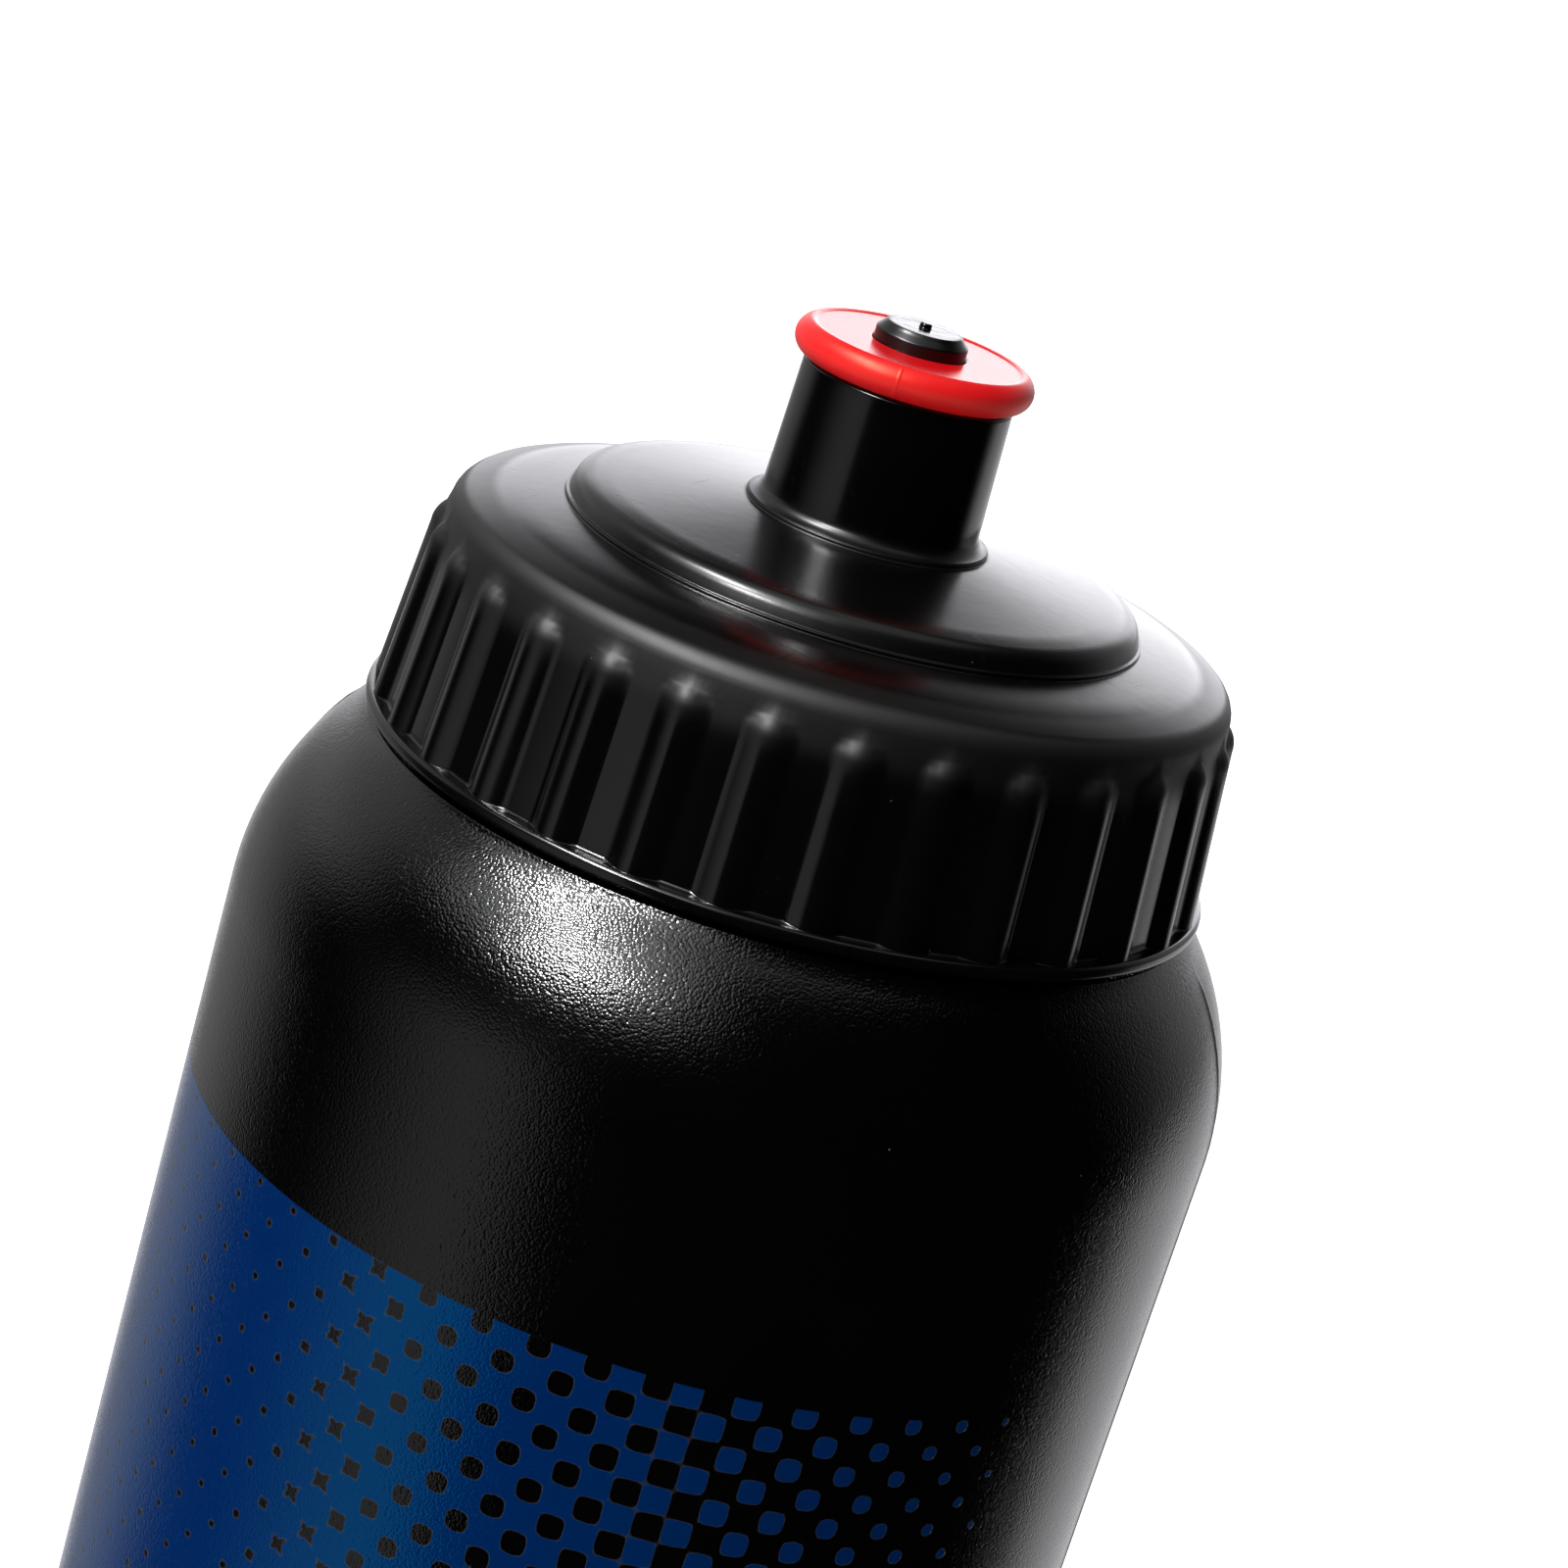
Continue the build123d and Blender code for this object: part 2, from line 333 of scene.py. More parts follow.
dotScreen = {
    "top": -34.3, "bottom": -185.0, "leanX": 0.0228, "leanY": -0.0033, "angleStep": 3.27, "heightStep": 2.375,
    "firstAngle": -11.3, "firstHeight": -37.3, "mirrorAngle": -95.0,
    # each stop is degrees from the front towards +X, and a value: level is 1 for all blue and -1 for all black,
    # and spikes is how far the corners of the small dots are drawn out
    "level": [
        (-95, 0.955), (-40, 0.90), (-29, 0.82), (-19, 0.47), (8, 0.0), (23, -0.27), (37, -0.66), (49, -0.94),
        (53, -1.1), (85, -1.1),
    ],
    "spikes": [(-95, 0.0), (-38, 0.0), (-31, 0.74), (-26, 0.60), (-21, 0.15), (-17, 0.0), (85, 0.0)],
    "soft": 0.03, "ragged": 0.16, "edgeSoft": 0.06,
}


def buildBody():
    b = body
    bm = bmesh.new()
    shoulderHeight = rimHeight - b["shoulderDepth"]
    collarTop = rimHeight - b["collarDepth"]
    collarFloor = collarTop - b["collarWall"]
    foot = (b["collarFoot"][0], rimHeight + b["collarFoot"][1])
    domeRadius = (b["standRadius"] ** 2 + b["baseRise"] ** 2) / (2 * b["baseRise"])
    domeEdge = degrees(asin(b["standRadius"] / domeRadius))
    shoulderMiddle = (b["wallRadius"] - b["shoulderRadius"], shoulderHeight)
    shoulderEnd = degrees(asin((foot[1] - shoulderHeight) / b["shoulderRadius"]))
    dome = arcOutline((0, b["baseRise"] - domeRadius), domeRadius, 90, 90 - domeEdge, 8)
    outside = list(dome)
    outside += roundedOutline(
        [
            (b["standRadius"], 0, 0), (b["footRadius"], 0, b["heelRounding"]),
            (b["wallRadius"], shoulderHeight, 0),
        ],
        closed=False, hold=0.1,
    )[1:-1]
    outside += arcOutline(shoulderMiddle, b["shoulderRadius"], 0, shoulderEnd, 14)
    neckTop = rimHeight + b["neckHeight"]
    innerEdge = foot[0] - 2 * b["wall"]
    neck = roundedOutline(
        [
            (*foot, 0), (b["collarRadius"], collarTop, 0.2), (b["neckRadius"], collarTop, 0.8),
            (b["neckRadius"], neckTop, 0.5), (b["neckBore"], neckTop, 0.5), (b["neckBore"], collarFloor, 0.8),
            (innerEdge, collarFloor, 0),
        ],
        closed=False,
    )[1:-1]
    innerRadius = b["wallRadius"] - b["wall"]
    fall = collarFloor - shoulderHeight
    inset = innerRadius - innerEdge
    innerShoulder = (fall ** 2 + inset ** 2) / (2 * inset)
    innerEnd = degrees(asin(fall / innerShoulder))
    inside = arcOutline((innerRadius - innerShoulder, shoulderHeight), innerShoulder, innerEnd, 0, 12)
    inside += roundedOutline(
        [
            (innerRadius, shoulderHeight, 0),
            (b["footRadius"] - b["wall"], b["baseWall"], b["heelRounding"] - b["wall"]),
            (b["standRadius"], b["baseWall"], 0),
        ],
        closed=False, hold=0.1,
    )[1:-1]
    inside += [point + Vector((0, b["baseWall"])) for point in reversed(dome)]
    addTurned(bm, outside + neck + inside, b["steps"], start=bodySeam["angle"])
    bm.normal_update()
    low, high = b["heelRounding"] * mm, (rimHeight - 3.5) * mm

    def onWall(vert):
        # 1 on the outside, from the heel to just under the lid, and 0 elsewhere
        radius = hypot(vert.co.x, vert.co.y) / mm
        outer = radius > b["footRadius"] - 0.6 - max(0.0, vert.co.z / mm - shoulderHeight) * 0.5
        facing = vert.normal.x * vert.co.x + vert.normal.y * vert.co.y > 0
        return float(outer and facing and low < vert.co.z < high)

    raiseSeam(bm, bodySeam, onWall)
    addThread(bm, bodyThread, 1, rimHeight + b["threadFoot"])
    finishPiece("squeeze_bottle_body", bm, "bottle", bodyMaterial(), "bottle_body")


def stopsCurve(tree, value, stops):
    # straight runs through (degrees, level) stops
    total = stops[0][1]
    for (before, low), (after, high) in zip(stops, stops[1:]):
        if low != high:
            inputs = {"Value": value, "From Min": before, "From Max": after, "To Max": high - low}
            total = calc(tree, "ADD", put(tree, "ShaderNodeMapRange", inputs).outputs["Result"], total)
    return total


def dotScreenMask(tree, place, angle):
    # 1 where the ink is, and a narrow line along its edges
    d = dotScreen
    turn = calc(tree, "MULTIPLY", angle, 180 / pi)
    # the print sits slightly askew on the bottle
    slope = (d["leanX"] / mm, d["leanY"] / mm, 0)
    lean = put(tree, "ShaderNodeVectorMath", {0: place, 1: slope}, operation="DOT_PRODUCT").outputs["Value"]
    height = calc(tree, "ADD", aboveRim(tree, place), lean)
    angleScale, heightScale = pi / d["angleStep"], pi / d["heightStep"]
    columnTurn = calc(tree, "MULTIPLY_ADD", turn, angleScale, -d["firstAngle"] * angleScale)
    rowTurn = calc(tree, "MULTIPLY_ADD", height, heightScale, -d["firstHeight"] * heightScale)
    field = calc(tree, "MULTIPLY", calc(tree, "COSINE", columnTurn), calc(tree, "COSINE", rowTurn))
    # the blue gives way to black towards the front's right, and in the same way round the back
    away = calc(tree, "SUBTRACT", turn, d["mirrorAngle"])
    away = calc(tree, "SUBTRACT", calc(tree, "MODULO", calc(tree, "ADD", away, 540.0), 360.0), 180.0)
    away = calc(tree, "ABSOLUTE", away)
    level = stopsCurve(tree, away, [(stop - d["mirrorAngle"], value) for stop, value in d["level"]])
    # small dots have their corners drawn out
    spikes = stopsCurve(tree, away, [(stop - d["mirrorAngle"], value) for stop, value in d["spikes"]])
    corners = calc(tree, "MULTIPLY", calc(tree, "SINE", columnTurn), calc(tree, "SINE", rowTurn))
    field = calc(tree, "MULTIPLY_ADD", calc(tree, "ABSOLUTE", corners), spikes, field)
    ragged = calc(tree, "MULTIPLY_ADD", noise(tree, place, 2600.0), d["ragged"], -d["ragged"] / 2)
    over = calc(tree, "ADD", calc(tree, "SUBTRACT", level, field), ragged)
    ink = step(tree, over, -d["soft"], d["soft"])
    fromBottom = step(tree, height, d["bottom"] - d["edgeSoft"], d["bottom"] + d["edgeSoft"])
    toTop = step(tree, height, d["top"] + d["edgeSoft"], d["top"] - d["edgeSoft"])
    inside = calc(tree, "MULTIPLY", fromBottom, toTop)
    edge = calc(tree, "SUBTRACT", 1.0, step(tree, calc(tree, "ABSOLUTE", over), 0.02, 0.08))
    return calc(tree, "MULTIPLY", ink, inside), calc(tree, "MULTIPLY", edge, inside)


def bodyMaterial():
    b = body
    material, tree, shader = startMaterial("pebbledBlackPolyethylene", IOR=1.5)
    place = objectPlace(tree)
    angle, radius = aroundAxis(tree, place)
    ink, edge = dotScreenMask(tree, place, angle)
    outer = step(tree, radius, 39.5 * mm, 39.9 * mm)  # not on the inside of the wall
    ink = calc(tree, "MULTIPLY", ink, outer)
    mottled = noise(tree, place, 60.0, 4.0, 0.6)
    worn = noise(tree, place, 900.0, 3.0, 0.7)
    black = mixColour(tree, mottled, b["darkBlack"], b["paleBlack"])
    blue = mixColour(tree, mottled, b["darkBlue"], b["paleBlue"])
    printed = mixColour(tree, ink, black, blue)
    printed = mixColour(tree, calc(tree, "MULTIPLY", edge, 0.35), printed, b["inkEdge"])
    dust = specks(tree, place, 520.0, 0.03, 0.05)
    printed = mixColour(tree, calc(tree, "MULTIPLY", dust, 0.6), printed, b["dust"])
    tree.links.new(printed, shader.inputs["Base Color"])
    tree.links.new(mixColour(tree, ink, (1, 1, 1, 1), b["inkShine"]), shader.inputs["Specular Tint"])
    tree.links.new(blendValue(tree, ink, 0.5, 0.85), shader.inputs["Specular IOR Level"])
    rough = blendValue(tree, mottled, b["roughness"] - 0.05, b["roughness"] + 0.05)
    rough = calc(tree, "ADD", rough, calc(tree, "MULTIPLY", worn, 0.05))
    tree.links.new(calc(tree, "MULTIPLY_ADD", ink, -0.03, rough), shader.inputs["Roughness"])
    # round pebbles, each a little paraboloid
    cells = put(tree, "ShaderNodeTexVoronoi", {"Vector": place, "Scale": 1 / (b["grain"] * mm)})
    pebbles = calc(tree, "POWER", cells.outputs["Distance"], 2.0)
    fine = calc(tree, "MULTIPLY", noise(tree, place, 2400.0), 0.5)
    waves = noise(tree, place, 45.0, 1.0, 0.4)
    surface = bump(tree, waves, 0.35 * mm, 0.35)
    surface = bump(tree, calc(tree, "SUBTRACT", fine, pebbles), b["grainDepth"] * mm, 1.0, surface)
    surface = bump(tree, ink, b["inkThickness"] * mm, 1.0, surface)
    tree.links.new(surface, shader.inputs["Normal"])
    return material


# screw lid: glossy, ribbed, with a raised disc, the spout and the post in its middle

lid = {
    "steps": 420, "bore": 31.6, "footRadius": 36.0, "beadTop": (35.9, 1.2), "skirtFoot": (34.6, 1.2),
    "skirtTop": (33.15, 18.8), "domeEdge": (29.0, 20.08),
    "discRadius": 24.5, "discFoot": 20.75, "discStep": 21.1, "discTop": (23.7, 22.7),
    "discCrown": (21.5, 23.14),
    "spoutStep": (10.25, 24.5), "spoutFoot": (9.15, 24.85), "spoutTop": (8.8, 36.8), "spoutBore": 7.4,
    "sleeveBore": 7.85, "sleeveTop": 34.1, "sleeveFoot": 22.85, "discInside": (22.2, 20.9), "ceiling": 17.8,
    "sealInner": 26.1, "sealOuter": 27.2, "sealFoot": 14.4,
    "ribCount": 30, "ribPhase": 2.0, "ribRadius": 2.5, "ribFillet": 0.12, "ribFoot": (33.1, 0.5),
    "ribTop": (31.85, 14.6), "skirtRows": [2.0, 2.6, 5.0, 8.0, 11.0, 13.5], "ballRows": 0.16,
    "columnShift": 0.3, "threadFoot": 1.8,
    "postRadius": 3.85, "postHeight": 41.35, "postFloor": 22.4, "postChamfer": 0.75, "postSteps": 96,
    "spokes": 3, "spokeLength": 8.1, "spokeTop": 24.3, "spokeWidth": 2.0, "gateRadius": 0.5, "gateHeight": 0.4,
    "roughness": 0.15, "darkBlack": (0.0003, 0.0003, 0.0003, 1), "paleBlack": (0.0010, 0.0010, 0.0010, 1),
    "dust": (0.12, 0.12, 0.12, 1),
}
lidThread = {
    "rootRadius": 31.6, "depth": 1.3, "rootWidth": 2.3, "crestWidth": 1.0, "bite": 0.4,
    "pitch": 5.0, "turns": 1.75, "stepsPerTurn": 96, "fade": 0.07,
}


def lidOutline():
    r = lid
    skirt = [
        (r["bore"], 0, 0.3), (r["footRadius"], 0, 0.5), (*r["beadTop"], 0.45), (*r["skirtFoot"], 0.3),
        (*r["skirtTop"], 2.0), (*r["domeEdge"], 20.0),
    ]
    disc = [
        (r["discRadius"], r["discFoot"], 0.12), (r["discRadius"], r["discStep"], 0.1),
        (r["discRadius"] - 0.3, r["discStep"], 0.1), (*r["discTop"], 1.5), (*r["discCrown"], 12.0),
    ]
    spout = [
        (*r["spoutStep"], 0.1), (r["spoutStep"][0], r["spoutFoot"][1], 0.12), (*r["spoutFoot"], 1.1),
        (*r["spoutTop"], 0.3), (r["spoutBore"], r["spoutTop"][1], 0.3),
        (r["spoutBore"], r["sleeveTop"] + 0.5, 0.2), (r["sleeveBore"], r["sleeveTop"], 0.2),
        (r["sleeveBore"], r["sleeveFoot"], 0.5),
    ]
    inside = [
        (*r["discInside"], 0.5), (r["discInside"][0], r["ceiling"], 0.3), (r["sealInner"], r["ceiling"], 0.3),
        (r["sealInner"], r["sealFoot"], 0.3), (r["sealOuter"], r["sealFoot"], 0.3),
        (r["sealOuter"], r["ceiling"], 0.2), (r["bore"], r["ceiling"], 0.2),
    ]
    outline = roundedOutline(skirt + disc + spout + inside)
    # rows on the skirt for the ribs, close together where they end in balls
    foot, top = Vector(r["skirtFoot"]), Vector(r["skirtTop"])
    height = r["ribTop"][1]
    at = next(index for index, point in enumerate(outline) if point.y > height)
    heights = list(r["skirtRows"])
    while height < outline[at].y - 0.1:
        heights.append(height)
        height += r["ballRows"]
    rows = [foot.lerp(top, (height - foot.y) / (top.y - foot.y)) for height in heights]
    return outline[:at] + rows + outline[at:]


def raiseRibs(verts):
    # moves the skirt out to half-round ribs that end in balls, with a small fillet beside each
    r = lid
    foot, top = Vector(r["ribFoot"]), Vector(r["ribTop"])
    pitch = 2 * pi / r["ribCount"]
    floor, ceiling = r["skirtFoot"][1] - 0.08, top.y + r["ribRadius"]
    for vert in verts:
        radius = hypot(vert.co.x, vert.co.y) / mm
        height = vert.co.z / mm - rimHeight
        if radius < r["bore"] + 0.6 or not floor < height < ceiling:
            continue  # inside, or above or below the ribs
        angle = atan2(vert.co.y, vert.co.x)
        off = (angle - radians(r["ribPhase"]) + pitch / 2) % pitch - pitch / 2
        along = (height - foot.y) / (top.y - foot.y)
        axis = foot.x + (top.x - foot.x) * min(along, 1.0)
        above = max(0.0, height - top.y)
        ribSize = sqrt(max(0.0, r["ribRadius"] ** 2 - above ** 2))
        aside = axis * sin(off)
        lift = sqrt(max(0.0, ribSize ** 2 - aside ** 2))
        ribReach = axis * cos(off) + lift
        blend = max(r["ribFillet"] - abs(radius - ribReach), 0.0) / r["ribFillet"]
        grown = max(radius, ribReach) + blend ** 2 * r["ribFillet"] / 4
        vert.co.x *= grown / radius
        vert.co.y *= grown / radius


def gatherColumns(verts):
    # turns each column a little, so that more of them stand at the ribs' crests and sides, a third of a rib apart
    apart = 2 * pi / lid["ribCount"] / 3
    for vert in verts:
        angle = atan2(vert.co.y, vert.co.x) - radians(lid["ribPhase"])
        shift = radians(-lid["columnShift"]) * sin(2 * pi * angle / apart)
        x, y = vert.co.x, vert.co.y
        vert.co.x = x * cos(shift) - y * sin(shift)
        vert.co.y = x * sin(shift) + y * cos(shift)


def buildLid():
    r = lid
    bm = bmesh.new()
    # the post in the valve's hole, with the mark of the mould's gate on its end
    postTop, gateTop = r["postHeight"], r["postHeight"] + r["gateHeight"]
    post = [
        (0, gateTop, 0), (r["gateRadius"], gateTop, 0.15), (r["gateRadius"], postTop, 0.1),
        (r["postRadius"] - r["postChamfer"], postTop, 0.15), (r["postRadius"], postTop - r["postChamfer"], 0.2),
        (r["postRadius"], r["postFloor"], 0.3), (0, r["postFloor"], 0),
    ]
    addTurned(bm, roundedOutline(post, closed=False), r["postSteps"], closed=False)
    addThread(bm, lidThread, -1, r["threadFoot"])
    for spoke in range(r["spokes"]):
        box = bmesh.ops.create_cube(bm, size=1)["verts"]
        length, height = r["spokeLength"], r["spokeTop"] - r["postFloor"]
        bmesh.ops.scale(bm, vec=(length * mm, r["spokeWidth"] * mm, height * mm), verts=box)
        bmesh.ops.translate(bm, vec=(length / 2 * mm, 0, (r["postFloor"] + height / 2) * mm), verts=box)
        edges = list({edge for vert in box for edge in vert.link_edges})
        rounded = bmesh.ops.bevel(
            bm, geom=edges, offset=0.3 * mm, segments=3, profile=0.5, affect="EDGES", material=-1
        )
        box = {vert for vert in box if vert.is_valid}
        box |= {vert for face in rounded["faces"] for vert in face.verts}
        turn = Matrix.Rotation(2 * pi * spoke / r["spokes"], 3, "Z")
        bmesh.ops.rotate(bm, verts=list(box), cent=(0, 0, 0), matrix=turn)
    bmesh.ops.translate(bm, verts=bm.verts, vec=(0, 0, rimHeight * mm))
    outline = [point + Vector((0, rimHeight)) for point in lidOutline()]

    def shapeSector(verts):
        gatherColumns(verts)
        raiseRibs(verts)

    addTurned(bm, outline, r["steps"], start=r["ribPhase"], sectors=r["ribCount"], shape=shapeSector)
    finishPiece("screw_lid_shell", bm, "lid", lidMaterial(), "screw_lid")


def lidMaterial():
    r = lid
    material, tree, shader = startMaterial("glossyBlackPolypropylene", IOR=1.49, Specular_IOR_Level=0.5)
    place = objectPlace(tree)
    angle, radius = aroundAxis(tree, place)
    height = aboveRim(tree, place)
    across = calc(tree, "MULTIPLY", radius, 1 / mm)
    # the faces that the mould's cutter turned, and the edges that are duller, in millimetres
    topFace = calc(tree, "MULTIPLY", step(tree, height, 19.2, 20.2), step(tree, across, 9.2, 11.0))
    rimBand = calc(tree, "MULTIPLY", step(tree, across, 29.4, 30.6), step(tree, height, 10.5, 17.5))
    discBand = calc(tree, "MULTIPLY", step(tree, across, 22.2, 23.0), step(tree, across, 24.5, 24.1))
    spoutFoot = calc(tree, "MULTIPLY", step(tree, across, 10.6, 10.2), step(tree, height, 26.6, 25.2))
    postSide = calc(tree, "MULTIPLY", step(tree, height, 37.2, 37.8), step(tree, across, 2.7, 3.1))
    ribEnds = calc(tree, "MULTIPLY", step(tree, across, 32.1, 32.6), step(tree, height, 13.0, 15.6))
    dulled = calc(tree, "MAXIMUM", calc(tree, "MAXIMUM", rimBand, spoutFoot), postSide)
    dulled = calc(tree, "MULTIPLY_ADD", discBand, 0.4, dulled)
    smudge = noise(tree, place, 55.0, 4.0, 0.6)
    fine = noise(tree, place, 900.0, 3.0, 0.6)
    marks = calc(tree, "MAXIMUM", scratches(tree, place, 24), scratches(tree, place, -62))
    dust = specks(tree, place, 640.0, 0.05, 0.05)
    black = mixColour(tree, smudge, r["darkBlack"], r["paleBlack"])
    black = mixColour(tree, calc(tree, "MULTIPLY", dust, 0.7), black, r["dust"])
    tree.links.new(black, shader.inputs["Base Color"])
    rough = blendValue(tree, smudge, r["roughness"] - 0.03, r["roughness"] + 0.04)
    rough = calc(tree, "MULTIPLY_ADD", topFace, 0.05, rough)
    rough = calc(tree, "MULTIPLY_ADD", dulled, 0.15, rough)
    rough = calc(tree, "MULTIPLY_ADD", ribEnds, 0.20, rough)
    rough = calc(tree, "MULTIPLY_ADD", marks, 0.10, rough)
    tree.links.new(calc(tree, "MULTIPLY_ADD", fine, 0.04, rough), shader.inputs["Roughness"])
    ring = combine(tree, X=radius, Y=calc(tree, "MULTIPLY", angle, 0.0015))
    turned = noise(tree, ring, 3200.0, 3.0, 0.6)
    surface = bump(tree, calc(tree, "MULTIPLY", turned, topFace), 0.0035 * mm)
    # fine level lines where the cutter ended the ribs
    z = put(tree, "ShaderNodeSeparateXYZ", {"Vector": place}).outputs["Z"]
    level = combine(tree, X=calc(tree, "MULTIPLY", angle, 0.0012), Z=z)
    lines = calc(tree, "MULTIPLY", noise(tree, level, 4200.0, 2.0, 0.6), step(tree, height, 9.0, 14.5))
    skirt = calc(tree, "MULTIPLY", step(tree, across, 31.6, 32.2), lines)
    surface = bump(tree, skirt, 0.005 * mm, 1.0, surface)
    surface = bump(tree, marks, 0.0015 * mm, 1.0, surface)
    surface = bump(tree, fine, 0.006 * mm, 1.0, surface)
    surface = bump(tree, dust, 0.02 * mm, 1.0, surface)
    surface = bump(tree, noise(tree, place, 90.0), 0.12 * mm, 0.3, surface)
    # the post's end is broken off rough
    postEnd = step(tree, height, r["postHeight"] - 0.3, r["postHeight"])
    surface = bump(tree, calc(tree, "MULTIPLY", postEnd, noise(tree, place, 750.0)), 0.12 * mm, 0.6, surface)
    tree.links.new(surface, shader.inputs["Normal"])
    return material


# sealing ring, flat, under the lid's ceiling

gasket = {
    "inner": 27.5, "outer": 31.3, "floor": 16.25, "top": 17.75, "rounding": 0.3, "steps": 192,
    "dark": (0.50, 0.50, 0.47, 1), "pale": (0.62, 0.62, 0.58, 1),
}


def buildGasket():
    g = gasket
    bm = bmesh.new()
    corners = [
        (g["inner"], g["floor"], g["rounding"]), (g["outer"], g["floor"], g["rounding"]),
        (g["outer"], g["top"], g["rounding"]), (g["inner"], g["top"], g["rounding"]),
    ]
    outline = [point + Vector((0, rimHeight)) for point in roundedOutline(corners)]
    addTurned(bm, outline, g["steps"])
    finishPiece("lid_sealing_ring", bm, "gasket", gasketMaterial(), "lid_gasket")


def gasketMaterial():
    material, tree, shader = startMaterial(
        "milkySilicone", IOR=1.41,
        Subsurface_Weight=0.4, Subsurface_Radius=(0.002, 0.002, 0.002), Subsurface_Scale=1.0,
    )
    place = objectPlace(tree)
    cloudy = noise(tree, place, 260.0, 4.0, 0.6)
    tree.links.new(mixColour(tree, cloudy, gasket["dark"], gasket["pale"]), shader.inputs["Base Color"])
    tree.links.new(blendValue(tree, cloudy, 0.42, 0.58), shader.inputs["Roughness"])
    tree.links.new(bump(tree, noise(tree, place, 2600.0, 3.0), 0.006 * mm), shader.inputs["Normal"])
    return material


# pull-up valve

valve = {
    "rimReach": 10.04, "rimEdge": 9.0, "rimFloor": 36.95, "rimTop": 39.8, "dishDepth": 0.15, "hole": 3.9,
    "ceiling": 37.6, "bore": 5.9, "foot": 25.2, "footRadius": 6.95, "beadRadius": 7.75, "beadFoot": 27.0,
    "beadTop": 27.6, "sleeveRadius": 7.35, "steps": 256,
    "darkRed": (0.45, 0.0025, 0.0055, 1), "paleRed": (0.50, 0.0045, 0.0075, 1), "shine": (1, 0.50, 0.32, 1),
}
valveSeam = {"angle": -95.0, "width": 0.16, "height": 0.05}


def buildValve():
    v = valve
    bm = bmesh.new()
    halfHeight, depth = (v["rimTop"] - v["rimFloor"]) / 2, v["rimReach"] - v["rimEdge"]
    rimRadius = (halfHeight ** 2 + depth ** 2) / (2 * depth)
    spread = degrees(asin(halfHeight / rimRadius))
    rim = arcOutline((v["rimReach"] - rimRadius, v["rimFloor"] + halfHeight), rimRadius, -spread, spread, 26)
    dish = v["rimTop"] - v["dishDepth"]
    rest = roundedOutline([
        (v["rimEdge"], v["rimTop"], 0), (v["rimEdge"] - 0.5, dish, 0.3), (v["hole"], dish, 0.2),
        (v["hole"], v["ceiling"], 0.2), (v["bore"], v["ceiling"], 0.3), (v["bore"], v["foot"], 0.3),
        (v["footRadius"], v["foot"], 0.3), (v["footRadius"], v["beadFoot"] - 0.6, 0.2),
        (v["beadRadius"], v["beadFoot"], 0.2), (v["beadRadius"], v["beadTop"], 0.12),
        (v["sleeveRadius"], v["beadTop"], 0.1), (v["sleeveRadius"], v["rimFloor"], 0.3),
        (v["rimEdge"], v["rimFloor"], 0),
    ], closed=False)[1:-1]
    outline = [point + Vector((0, rimHeight)) for point in rim + rest]
    addTurned(bm, outline, v["steps"], start=valveSeam["angle"])
    bm.normal_update()
    raiseSeam(bm, valveSeam, lambda vert: float(hypot(vert.co.x, vert.co.y) > (v["rimEdge"] + 0.1) * mm))
    finishPiece("pull_valve", bm, "valve", valveMaterial(), "valve_cap")


def valveMaterial():
    v = valve
    material, tree, shader = startMaterial(
        "redPolypropylene", IOR=1.49, Specular_IOR_Level=0.65, Specular_Tint=v["shine"],
        Subsurface_Weight=0.25, Subsurface_Radius=(0.0016, 0.0004, 0.0002), Subsurface_Scale=1.0,
    )
    place = objectPlace(tree)
    angle, radius = aroundAxis(tree, place)
    high = step(tree, aboveRim(tree, place), v["rimTop"] - 0.3, v["rimTop"] - 0.18)
    topFace = calc(tree, "MULTIPLY", high, step(tree, radius, 9.3 * mm, 8.8 * mm))
    cloudy = noise(tree, place, 160.0, 4.0, 0.6)
    fine = noise(tree, place, 1500.0, 3.0, 0.6)
    tree.links.new(mixColour(tree, cloudy, v["darkRed"], v["paleRed"]), shader.inputs["Base Color"])
    rough = blendValue(tree, fine, 0.38, 0.48)
    tree.links.new(calc(tree, "MULTIPLY_ADD", topFace, -0.22, rough), shader.inputs["Roughness"])
    surface = bump(tree, fine, 0.002 * mm)
    ring = combine(tree, X=radius, Y=calc(tree, "MULTIPLY", angle, 0.001))
    turned = calc(tree, "MULTIPLY", noise(tree, ring, 2600.0), topFace)
    surface = bump(tree, turned, 0.002 * mm, 1.0, surface)
    surface = bump(tree, noise(tree, place, 220.0), 0.05 * mm, 0.3, surface)
    tree.links.new(surface, shader.inputs["Normal"])
    return material


# camera, floor and studio

camera = {
    "place": (0.0, -375.3, 118.2),  # in millimetres from the middle of the lid's lower edge
    "turn": 0.05, "tip": 17.34, "roll": 16.73, "lens": 108.6, "film": 36,
}
studio = {
    "floorRadius": 4.0, "floorFade": (0.3, 1.2), "floorGlow": 0.55, "ambient": 0.002,
    "lampDistance": 1.2, "lampSize": (0.30, 0.08),
    "lamps": [{"turn": -63, "lift": 54, "power": 14}, {"turn": -41, "lift": 38, "power": 12}],
}
